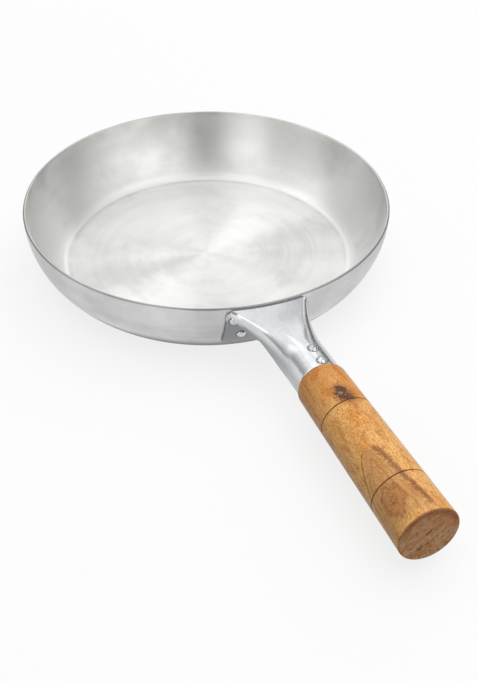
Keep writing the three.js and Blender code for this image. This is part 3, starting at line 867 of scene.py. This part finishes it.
# The knot before the first ring: a dark, checked heart with a pale chip, and a red halo behind it
halo_far = total(tree, spot(tree, along, girth, KNOT_HALO_PLACE, 1.5), ragged)
body = layer(tree, body, HALO, stepped(tree, halo_far, 8.5, 2.5), 0.62)
knot_far = total(tree, spot(tree, along, girth, KNOT_PLACE, 1.5), product(tree, ragged, 2.3))
body = layer(tree, body, STREAK, stepped(tree, knot_far, 5.6, 3.0), 0.8)
body = layer(tree, body, KNOT, stepped(tree, knot_far, 3.9, 2.2), 0.92)
tail_far = total(tree, spot(tree, along, girth, KNOT_TAIL_PLACE, 1.2), product(tree, ragged, 1.8))
body = layer(tree, body, KNOT, stepped(tree, tail_far, 3.2, 1.2), 0.75)
chip_far = total(tree, spot(tree, along, girth, KNOT_CHIP_PLACE, 1.3), product(tree, ragged, 0.9))
body = layer(tree, body, KNOT_CHIP, stepped(tree, chip_far, 1.3, 0.7), 0.75)

# Scribed rings, darker at the bottom of the cut
for groove in GROOVES:
    cut = line(tree, less(tree, along, groove / MM), 0.55)
    body = layer(tree, body, SCRIBED, stepped(tree, cut, 0.0, 0.7), 0.75)

# End grain: growth lines slanting across the sawn end, three open checks, a darker edge
slant_cos = math.cos(END_SLANT)
slant_sin = math.sin(END_SLANT)
end_run = total(tree, product(tree, side, slant_cos), product(tree, height, slant_sin))
end_rise = less(tree, product(tree, height, slant_cos), product(tree, side, slant_sin))
end_space = joined(tree, end_run, total(tree, end_rise, waver(tree, curl, 7.0)))
end_lines = noise(tree, end_space, (0.07, 0.36, 1.0), 5.0, 0.65, 0.8)
end_fine = noise(tree, end_space, (0.40, 1.5, 1.0), 4.0, 0.68)
end_tone = layer(tree, END_GRAIN, END_GRAIN_PALE, stepped(tree, end_lines, 0.42, 0.60))
end_tone = layer(tree, end_tone, END_GRAIN_DARK, stepped(tree, end_fine, 0.47, 0.66), 0.72)
end_far = total(tree, span(tree, side, height), ragged)
end_tone = layer(tree, end_tone, HALO, stepped(tree, end_far, 10.5, 14.5),
                 stepped(tree, height, -2.0, 8.0), 0.6)
for at_run, at_rise, length, width in END_CHECKS:
    check_run = calc(tree, "DIVIDE", less(tree, end_run, at_run), length)
    check_rise = calc(tree, "DIVIDE", less(tree, end_rise, at_rise), width)
    check_far = total(tree, span(tree, check_run, check_rise), product(tree, ragged, 0.45))
    end_tone = layer(tree, end_tone, KNOT, stepped(tree, check_far, 1.0, 0.45), 0.8)
on_end = stepped(tree, along, GRIP_LENGTH / MM - 0.5, GRIP_LENGTH / MM - 0.15)
body = layer(tree, body, end_tone, on_end)
end_edge = line(tree, less(tree, along, GRIP_LENGTH / MM - 0.45), 0.6)
body = layer(tree, body, END_GRAIN_DARK, end_edge, 0.6)
tree.links.new(body, shader.inputs["Base Color"])
pore_depth = stepped(tree, pores, 0.62, 0.74, 0.0, 0.6)
relief(tree, shader, less(tree, product(tree, fibres, 0.6), pore_depth), 0.25, WOOD_RELIEF)
polish = total(tree, product(tree, fibres, 0.16), product(tree, on_end, 0.30), 0.26)
tree.links.new(polish, shader.inputs["Roughness"])
shader.inputs["Specular IOR Level"].default_value = 0.20
grip.data.materials.append(wood)
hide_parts("wooden_handle")
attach(grip, "root")

# Socket pins: two domed nails of the rivets' metal, driven through the top of the socket into the
# tenon, one behind the other, a little to the side of the top line.
PIN_SHANK = 1.3 * MM
PIN_HEAD_RADIUS = 2.7 * MM
PIN_HEAD_HEIGHT = 1.5 * MM
PIN_LENGTH = 9 * MM
PIN_SEAT = -0.1 * MM
PIN_TIP_RADIUS = PIN_SHANK * 0.98
PIN_TIP_RISE = PIN_SHANK * 0.6

socket_pins = set_rivets("socket_pins", pin_places, {
    "Head Radius": PIN_HEAD_RADIUS, "Head Rise": PIN_HEAD_HEIGHT - HEAD_EDGE, "Head Edge": HEAD_EDGE,
    "Head Seat": PIN_SEAT, "Shank Radius": PIN_SHANK, "Tail Radius": PIN_TIP_RADIUS,
    "Tail Rise": PIN_TIP_RISE, "Tail Seat": PIN_SHANK - PIN_LENGTH, "Finish": rivet_metal})
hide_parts("socket_pin_front", "socket_pin_rear")
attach(socket_pins, "root")

# Camera: above and beyond the end of the grip, looking down on the dish, with the turn, rise, roll
# and lens that were fitted to the photograph.
CAMERA_TURN = math.radians(67.041)
CAMERA_RISE = math.radians(38.988)
CAMERA_ROLL = math.radians(0.309)
CAMERA_FAR = 0.68828
CAMERA_AIM = Vector((0.0855, -0.01489, 0))
IMAGE_HEIGHT = 681
FOCAL_PIXELS = 1206.3
SENSOR = 36
CLIP_START = 0.01
camera_data = bpy.data.cameras.new("camera")
camera_data.sensor_fit = "VERTICAL"
camera_data.sensor_height = SENSOR
camera_data.lens = FOCAL_PIXELS * SENSOR / IMAGE_HEIGHT
camera_data.clip_start = CLIP_START
camera = add_object("camera", camera_data)


def heading_out(heading, rise):
    """The way out at a heading from +X and a rise from level."""
    level = math.cos(rise)
    return Vector((math.cos(heading) * level, math.sin(heading) * level, math.sin(rise)))


camera_heading = CAMERA_TURN - math.pi / 2
back = heading_out(camera_heading, CAMERA_RISE)
right = Vector((math.cos(CAMERA_TURN), math.sin(CAMERA_TURN), 0))
level_up = back.cross(right)
rolled_right = math.cos(CAMERA_ROLL) * right + math.sin(CAMERA_ROLL) * level_up
rolled_up = math.cos(CAMERA_ROLL) * level_up - math.sin(CAMERA_ROLL) * right
turned_camera = Matrix((rolled_right, rolled_up, back)).transposed().to_4x4()
camera.matrix_world = Matrix.Translation(CAMERA_AIM + back * CAMERA_FAR) @ turned_camera
bpy.context.scene.camera = camera
bpy.context.scene.view_settings.view_transform = "Standard"

# Stage: a pale floor that takes the soft shadow, lit by soft boxes from above and from behind on
# the right. Cards round it, seen only in reflections, give the dish and the bracket their shades.
FLOOR_SIZE = 8.0
FLOOR_DROP = 0.4 * MM
FLOOR_FADE_START = 0.7
FLOOR_FADE_END = 1.8
FLOOR_GREY = (0.18, 0.18, 0.18, 1)
FLOOR_GLOW_NEAR = 0.645
FLOOR_GLOW_FAR = 0.85
CAMERA_GLOW = 0.15
ROOM_LIGHT = 0.50
BLACK = (0, 0, 0, 1)
WHITE = (1, 1, 1, 1)
STAGE_MIDDLE = Vector((0.05, 0, 0))
CARD_FAR = 1.5


def flat_sheet(name, middle, half_across, half_up, finish):
    """A four-cornered sheet from its middle and the half lengths of its sides."""
    mesh = bpy.data.meshes.new(name)
    mesh.from_pydata([middle - half_across - half_up, middle + half_across - half_up,
                      middle + half_across + half_up, middle - half_across + half_up], [], [(0, 1, 2, 3)])
    mesh.materials.append(finish)
    return add_object(name, mesh)


def seen_rays(tree):
    """Masks for rays from the camera, and for all rays by which the stage is seen, mirrored too."""
    seen = tree.nodes.new("ShaderNodeLightPath").outputs
    sent_on = calc(tree, "MAXIMUM", seen["Is Glossy Ray"], seen["Is Transmission Ray"])
    return seen["Is Camera Ray"], calc(tree, "MAXIMUM", seen["Is Camera Ray"], sent_on)


paper, tree, surface = bare_surface("white_paper")
x, y, _ = split(tree, own_place(tree))
far_out = stepped(tree, span(tree, x, y), FLOOR_FADE_START, FLOOR_FADE_END)
matt = add_node(tree, "ShaderNodeBsdfDiffuse", {"Color": layer(tree, FLOOR_GREY, BLACK, far_out)})
from_camera, from_seen = seen_rays(tree)
glow_rise = product(tree, far_out, FLOOR_GLOW_FAR - FLOOR_GLOW_NEAR)
floor_glow = total(tree, glow_rise, FLOOR_GLOW_NEAR)
shine = total(tree, product(tree, from_camera, CAMERA_GLOW), product(tree, from_seen, floor_glow))
glow = add_node(tree, "ShaderNodeEmission", {"Color": WHITE, "Strength": shine})
both = add_node(tree, "ShaderNodeAddShader", {0: matt.outputs[0], 1: glow.outputs[0]})
tree.links.new(both.outputs[0], surface)
floor_half = FLOOR_SIZE / 2
floor = flat_sheet("floor", Vector((0, 0, -FLOOR_DROP)), Vector((floor_half, 0, 0)),
                   Vector((0, floor_half, 0)), paper)

world = bpy.data.worlds.new("white_room")
bpy.context.scene.world = world
world.use_nodes = True
tree = world.node_tree
tree.nodes.clear()
_, from_seen = seen_rays(tree)
room_light = stepped(tree, from_seen, 0.0, 1.0, ROOM_LIGHT, 1.0)
room = add_node(tree, "ShaderNodeBackground", {"Color": WHITE, "Strength": room_light})
tree.links.new(room.outputs[0], tree.nodes.new("ShaderNodeOutputWorld").inputs[0])


def soft_lamp(name, place, size, power):
    """A square soft box aimed at the middle, seen by neither the camera nor reflections."""
    data = bpy.data.lights.new(name, "AREA")
    data.shape = "SQUARE"
    data.size = size
    data.energy = power
    lamp = add_object(name, data)
    lamp.location = place
    lamp.rotation_euler = (STAGE_MIDDLE - Vector(place)).to_track_quat("-Z", "Y").to_euler()
    lamp.visible_camera = False
    lamp.visible_glossy = False


soft_lamp("key_box", (-0.5, 1.3, 1.6), 1.8, 14)
soft_lamp("top_box", (0.05, 0, 2.2), 2.4, 24)


def card(name, turn, rise, width, height, foot_tone, top_tone):
    """A card seen only in reflections, at a turn and rise in degrees from the camera's side."""
    heading = camera_heading + math.radians(turn)
    out = heading_out(heading, math.radians(rise))
    middle = out * CARD_FAR
    across = Vector((-math.sin(heading), math.cos(heading), 0)) * width / 2
    upright = out.cross(across).normalized() * height / 2
    face, tree, surface = bare_surface(name)
    level = split(tree, own_place(tree))[2]
    fade = stepped(tree, level, (middle - upright).z, (middle + upright).z, foot_tone, top_tone)
    glow = add_node(tree, "ShaderNodeEmission", {"Color": WHITE, "Strength": fade})
    tree.links.new(glow.outputs[0], surface)
    sheet = flat_sheet(name, middle, across, upright, face)
    sheet.visible_camera = False
    sheet.visible_diffuse = False
    sheet.visible_shadow = False


# Turn, rise, width, height, and the tone at the foot and at the top
card("dark_card_front", 2, 30, 0.62, 1.6, 0.10, 0.10)
card("dark_card_right", 142, 11, 1.4, 0.6, 0.12, 0.20)
card("dark_card_left", -144, 8, 1.4, 0.45, 0.05, 0.05)
card("grey_card_left", -118, 31, 1.5, 0.95, 0.22, 0.90)
card("grey_card_near_left", -64, 26, 1.5, 0.95, 0.22, 0.90)
card("grey_card_near_right", 108, 22, 1.1, 0.9, 0.06, 0.50)
card("grey_card_side_left", -88, 24, 0.6, 1.0, 0.25, 1.10)
card("grey_card_side_right", 82, 24, 0.4, 1.0, 0.30, 0.80)
card("grey_card_back", 147, 40, 0.6, 0.35, 0.25, 0.25)
card("grey_card_right", 122, 60, 0.6, 0.5, 0.55, 0.55)
card("white_card_left", -30, 24, 0.45, 0.7, 1.6, 1.6)
card("white_card_high_left", -104, 50, 0.8, 0.5, 1.5, 1.5)
card("white_card_high_right", 94, 50, 0.8, 0.5, 1.5, 1.5)
card("white_card_right", 46, 24, 0.7, 0.7, 1.6, 1.6)
card("white_card_back", 176, 36, 0.4, 0.35, 1.8, 1.8)
card("white_card_top", -152, 59, 0.55, 0.85, 1.3, 1.5)
